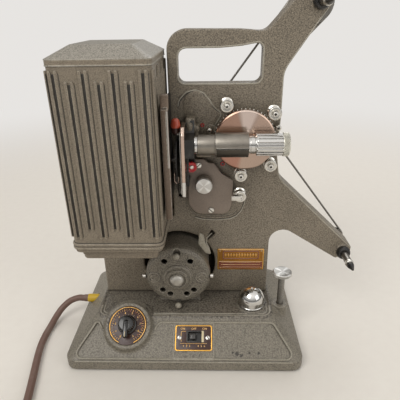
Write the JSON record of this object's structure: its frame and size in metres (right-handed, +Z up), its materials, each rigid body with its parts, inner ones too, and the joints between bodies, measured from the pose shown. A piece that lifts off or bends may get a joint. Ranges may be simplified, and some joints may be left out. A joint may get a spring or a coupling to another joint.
{
  "type": "film projector",
  "caption": "Vintage 8 mm film projector on a sloped cast base, with ribbed lamp house, lens, film gate, drive train, motor, folded reel arms and a coiled power cord.",
  "frame": {"origin": "middle of the projector's footprint at table level, without the free cord, its coil and plug", "axes": "+X along the lens towards the screen, +Y from the control side to the rear cover, +Z up"},
  "size_m": [0.3576, 0.3535, 0.3718],
  "materials": {
    "hammer_paint": "hammertone",
    "crinkle_paint": "crinkle",
    "black_enamel": "satin",
    "red_paint": "gloss",
    "chrome": "polished",
    "steel": "turned",
    "aluminium": "machined",
    "brass": "machined",
    "bronze": "plain",
    "gilt_plate": "enamelled",
    "copper_iron": "laminated",
    "black_plastic": "satin",
    "brown_plastic": "moulded",
    "yellow_plastic": "satin",
    "cord_rubber": "smooth",
    "foot_rubber": "matte",
    "clear_glass": "polished",
    "lamp_glass": "clear"
  },
  "bodies": {
    "projector": {"base_casting": "hammer_paint", "bottom_plate": "steel", "rubber_feet": "foot_rubber", "slotted_screws": "steel", "control_plates": "gilt_plate", "rheostat": "brown_plastic", "switch_block": "black_plastic", "pilot_lamp": "steel", "cord_sleeve": "yellow_plastic", "power_cord": "cord_rubber", "cord_coil": "cord_rubber", "plug": "brown_plastic", "main_casting": "hammer_paint", "rear_cover": "hammer_paint", "mechanism_plate": "steel", "mechanism_cover": "hammer_paint", "nameplate": "gilt_plate", "oil_points": "red_paint", "shaft_bushes": "bronze", "guide_studs": "steel", "upper_belt": "steel", "lower_belt": "steel", "drive_belt": "foot_rubber", "lens_holder": "black_enamel", "gate_block": "black_enamel", "aperture_plate": "steel", "condenser_plate": "hammer_paint", "condenser_lens": "clear_glass", "lamp_tray": "crinkle_paint", "lamp_bulb": "lamp_glass", "motor_frame": "hammer_paint", "motor_end_bell": "hammer_paint"},
    "main_drive": {"main_shaft": "steel", "inching_knob": "aluminium"},
    "idler_drive": {"idler_gear": "brass"},
    "sprocket_drive": {"sprocket": "chrome", "sprocket_shaft": "steel"},
    "rewind_drive": {"rewind_shaft": "steel"},
    "upper_reel_drive": {"upper_spindle": "steel"},
    "lower_reel_drive": {"lower_spindle": "steel"},
    "cross_drive": {"cross_shaft": "steel"},
    "shutter_drive": {"shutter_shaft": "steel", "shutter": "black_enamel"},
    "motor_rotor": {"armature": "copper_iron"},
    "speed_dial": {"speed_knob": "black_plastic"},
    "power_switch": {"switch_slider": "black_plastic"},
    "pilot_cover": {"pilot_hood": "chrome"},
    "leveling_foot": {"elevating_foot": "foot_rubber"},
    "leveling_screw": {"elevating_screw": "steel"},
    "focus_lens": {"lens_barrel": "aluminium", "lens_glass": "clear_glass"},
    "film_claw": {"claw": "steel"},
    "film_gate": {"pressure_plate": "steel"},
    "lamp_cover": {"lamphouse": "crinkle_paint", "lamphouse_cap": "crinkle_paint"},
    "feed_roller_inner_body": {"feed_roller_inner": "chrome"},
    "feed_roller_outer_body": {"feed_roller_outer": "chrome"},
    "takeup_roller_outer_body": {"takeup_roller_outer": "chrome"},
    "takeup_roller_inner_body": {"takeup_roller_inner": "chrome"},
    "loop_roller_body": {"loop_roller": "chrome"}
  },
  "joints": [
    {"name": "main_spin", "type": "hinge", "parent": "projector", "child": "main_drive", "pos_m": [-0.0089, -0.0125, 0.185], "axis": [0, 1, 0], "continuous": true},
    {"name": "idler_spin", "type": "hinge", "parent": "projector", "child": "idler_drive", "pos_m": [0.02075, 0.0175, 0.20081], "axis": [0, 1, 0], "continuous": true},
    {"name": "sprocket_spin", "type": "hinge", "parent": "projector", "child": "sprocket_drive", "pos_m": [0.0309, -0.0125, 0.233], "axis": [0, 1, 0], "continuous": true},
    {"name": "rewind_spin", "type": "hinge", "parent": "projector", "child": "rewind_drive", "pos_m": [-0.0019, 0.0175, 0.23854], "axis": [0, 1, 0], "continuous": true},
    {"name": "upper_reel_spin", "type": "hinge", "parent": "projector", "child": "upper_reel_drive", "pos_m": [0.0943, -0.0025, 0.352], "axis": [0, 1, 0], "continuous": true},
    {"name": "lower_reel_spin", "type": "hinge", "parent": "projector", "child": "lower_reel_drive", "pos_m": [0.1464, -0.0025, 0.098], "axis": [0, 1, 0], "continuous": true},
    {"name": "cross_spin", "type": "hinge", "parent": "projector", "child": "cross_drive", "pos_m": [-0.0314, 0.012, 0.185], "axis": [1, 0, 0], "continuous": true},
    {"name": "shutter_spin", "type": "hinge", "parent": "projector", "child": "shutter_drive", "pos_m": [-0.0314, -0.0125, 0.21138], "axis": [1, 0, 0], "continuous": true},
    {"name": "motor_spin", "type": "hinge", "parent": "projector", "child": "motor_rotor", "pos_m": [-0.0384, 0.0075, 0.0822], "axis": [0, 1, 0], "continuous": true},
    {"name": "speed_turn", "type": "hinge", "parent": "projector", "child": "speed_dial", "pos_m": [-0.0918, -0.05794, 0.04047], "axis": [0, -0.5965, 0.8026], "range_deg": [0, 270]},
    {"name": "switch_slide", "type": "slide", "parent": "projector", "child": "power_switch", "axis": [1, 0, 0], "range_m": [0, 0.0044]},
    {"name": "pilot_hood_turn", "type": "hinge", "parent": "projector", "child": "pilot_cover", "pos_m": [0.0436, -0.0245, 0.044], "axis": [0, 0, 1], "continuous": true},
    {"name": "leveling_slide", "type": "slide", "parent": "projector", "child": "leveling_foot", "axis": [0, 0, -1], "range_m": [0, 0.02]},
    {"name": "leveling_turn", "type": "hinge", "parent": "leveling_foot", "child": "leveling_screw", "pos_m": [0.0771, -0.0185, 0.04], "axis": [0, 0, -1], "range_deg": [0, 3600]},
    {"name": "focus_slide", "type": "slide", "parent": "projector", "child": "focus_lens", "axis": [1, 0, 0], "range_m": [-0.003, 0.006]},
    {"name": "claw_slide", "type": "slide", "parent": "projector", "child": "film_claw", "axis": [0, 0, 1], "range_m": [-0.0019, 0.0019], "stiffness_N_per_m": 100},
    {"name": "gate_slide", "type": "slide", "parent": "projector", "child": "film_gate", "axis": [-1, 0, 0], "range_m": [0, 0.0018], "stiffness_N_per_m": 200, "springref_m": -0.003},
    {"name": "lamp_cover_lift", "type": "slide", "parent": "projector", "child": "lamp_cover", "axis": [0, 0, 1], "range_m": [0, 0.14]},
    {"name": "feed_roller_inner_spin", "type": "hinge", "parent": "projector", "child": "feed_roller_inner_body", "pos_m": [0.01324, -0.0125, 0.26552], "axis": [0, 1, 0], "continuous": true},
    {"name": "feed_roller_outer_spin", "type": "hinge", "parent": "projector", "child": "feed_roller_outer_body", "pos_m": [0.05818, -0.0125, 0.258], "axis": [0, 1, 0], "continuous": true},
    {"name": "takeup_roller_outer_spin", "type": "hinge", "parent": "projector", "child": "takeup_roller_outer_body", "pos_m": [0.05684, -0.0125, 0.20661], "axis": [0, 1, 0], "continuous": true},
    {"name": "takeup_roller_inner_spin", "type": "hinge", "parent": "projector", "child": "takeup_roller_inner_body", "pos_m": [0.028, -0.0125, 0.19611], "axis": [0, 1, 0], "continuous": true},
    {"name": "loop_roller_spin", "type": "hinge", "parent": "projector", "child": "loop_roller_body", "pos_m": [0.0279, -0.0125, 0.1735], "axis": [0, 1, 0], "continuous": true}
  ],
  "couplings": [
    {"joint": "idler_spin", "follows": "main_spin", "ratio": -0.16667},
    {"joint": "sprocket_spin", "follows": "main_spin", "ratio": 0.020833},
    {"joint": "rewind_spin", "follows": "main_spin", "ratio": 0.31579},
    {"joint": "upper_reel_spin", "follows": "main_spin", "ratio": 0.1369},
    {"joint": "lower_reel_spin", "follows": "main_spin", "ratio": 0.045833},
    {"joint": "motor_spin", "follows": "main_spin", "ratio": 3.4286},
    {"joint": "cross_spin", "follows": "main_spin", "ratio": -1},
    {"joint": "shutter_spin", "follows": "main_spin", "ratio": 1},
    {"joint": "leveling_turn", "follows": "leveling_slide", "rad_per_m": 3141.5}
  ]
}
